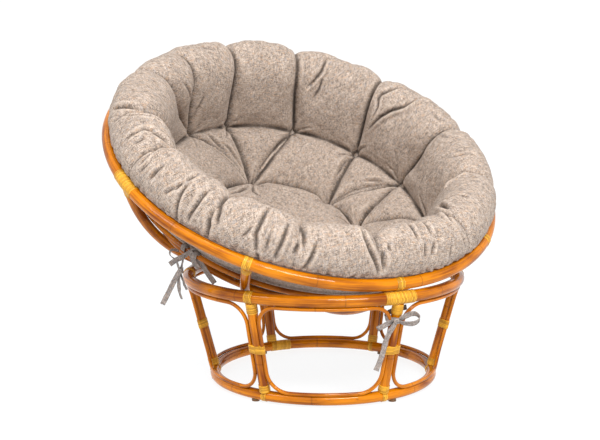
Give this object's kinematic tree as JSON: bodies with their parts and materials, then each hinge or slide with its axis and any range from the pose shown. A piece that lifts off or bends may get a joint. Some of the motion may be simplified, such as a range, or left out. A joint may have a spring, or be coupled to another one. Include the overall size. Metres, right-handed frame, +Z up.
{
  "type": "papasan chair",
  "caption": "Round bowl chair of bent rattan poles: a dished frame with a thick tufted cushion rests tilted in a drum-shaped open stand.",
  "frame": {"origin": "on the floor, below the middle of the chair's bounding box", "axes": "+Z up; the bowl faces -Y, so its lowest rim point is at -Y and its raised back at +Y; X is across"},
  "size_m": [1.09, 0.9774, 0.8969],
  "materials": {
    "pole": "gloss",
    "peel": "satin",
    "glide": "matte",
    "cushion": "matte",
    "tie": "matte"
  },
  "bodies": {
    "stand": {"lower_ring": "pole", "upper_ring": "pole", "post_front": "pole", "post_binding_top_front": "peel", "post_binding_middle_front": "peel", "post_binding_bottom_front": "peel", "foot_glide_front": "glide", "post_right_front": "pole", "post_binding_top_right_front": "peel", "post_binding_middle_right_front": "peel", "post_binding_bottom_right_front": "peel", "foot_glide_right_front": "glide", "post_right_back": "pole", "post_binding_top_right_back": "peel", "post_binding_middle_right_back": "peel", "post_binding_bottom_right_back": "peel", "foot_glide_right_back": "glide", "post_back": "pole", "post_binding_top_back": "peel", "post_binding_middle_back": "peel", "post_binding_bottom_back": "peel", "foot_glide_back": "glide", "post_left_back": "pole", "post_binding_top_left_back": "peel", "post_binding_middle_left_back": "peel", "post_binding_bottom_left_back": "peel", "foot_glide_left_back": "glide", "post_left_front": "pole", "post_binding_top_left_front": "peel", "post_binding_middle_left_front": "peel", "post_binding_bottom_left_front": "peel", "foot_glide_left_front": "glide", "bay_loop_right_front": "pole", "bay_loop_right": "pole", "bay_loop_back_right": "pole", "bay_loop_back_left": "pole", "bay_loop_left": "pole", "bay_loop_left_front": "pole", "cushion_tie_front": "tie"},
    "bowl": {"bowl_rim": "pole", "bowl_hoop_upper": "pole", "bowl_hoop_lower": "pole", "bowl_hoop_bottom": "pole", "bowl_rib_spine": "pole", "bowl_rib_left_front": "pole", "bowl_rib_left": "pole", "bowl_rib_left_back": "pole", "bowl_rib_right_front": "pole", "bowl_rib_right": "pole", "bowl_rib_right_back": "pole", "rim_binding_left_front": "peel", "rim_binding_left": "peel", "rim_binding_left_back": "peel", "rim_binding_right_front": "peel", "rim_binding_right": "peel", "rim_binding_right_back": "peel", "rim_binding_front": "peel", "rim_binding_back": "peel", "cushion_tie_left": "tie"},
    "cushion": {"seat_cushion": "cushion"}
  },
  "joints": [
    {"name": "bowl_tilt", "type": "hinge", "parent": "stand", "child": "bowl", "pos_m": [0.00065, -0.10078, 0.76608], "axis": [-1, 0, 0], "range_deg": [0, 29]},
    {"name": "cushion_lift", "type": "slide", "parent": "bowl", "child": "cushion", "axis": [0, -0.4847, 0.8747], "range_m": [0, 0.25]}
  ]
}
